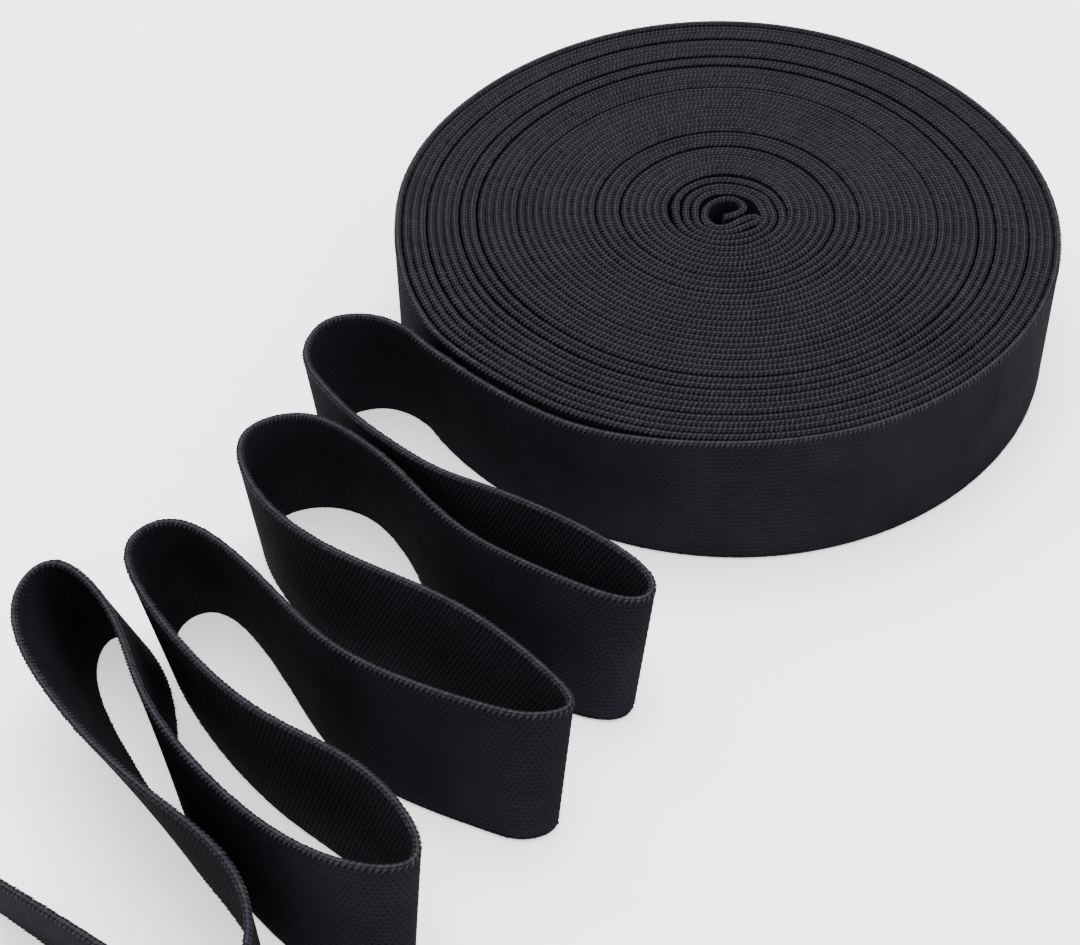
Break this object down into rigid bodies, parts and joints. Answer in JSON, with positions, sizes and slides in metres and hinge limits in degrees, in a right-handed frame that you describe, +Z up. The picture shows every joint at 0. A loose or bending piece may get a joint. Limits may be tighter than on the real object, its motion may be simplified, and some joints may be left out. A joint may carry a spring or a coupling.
{
  "type": "roll of elastic",
  "caption": "Charcoal knitted elastic tape wound on edge into a flat round roll, its outer end standing on edge in loose back-and-forth bends.",
  "frame": {"origin": "middle of the whole piece's footprint, on the surface that it lies on", "axes": "+Z up along the tape's width and the roll's axis, +Y from the loose end towards the roll, the longest way"},
  "size_m": [0.1624, 0.2058, 0.025],
  "materials": {
    "elastic": "matt knitted yarn"
  },
  "bodies": {
    "root": {"wound_roll": "elastic", "loose_end": "elastic"}
  },
  "joints": []
}
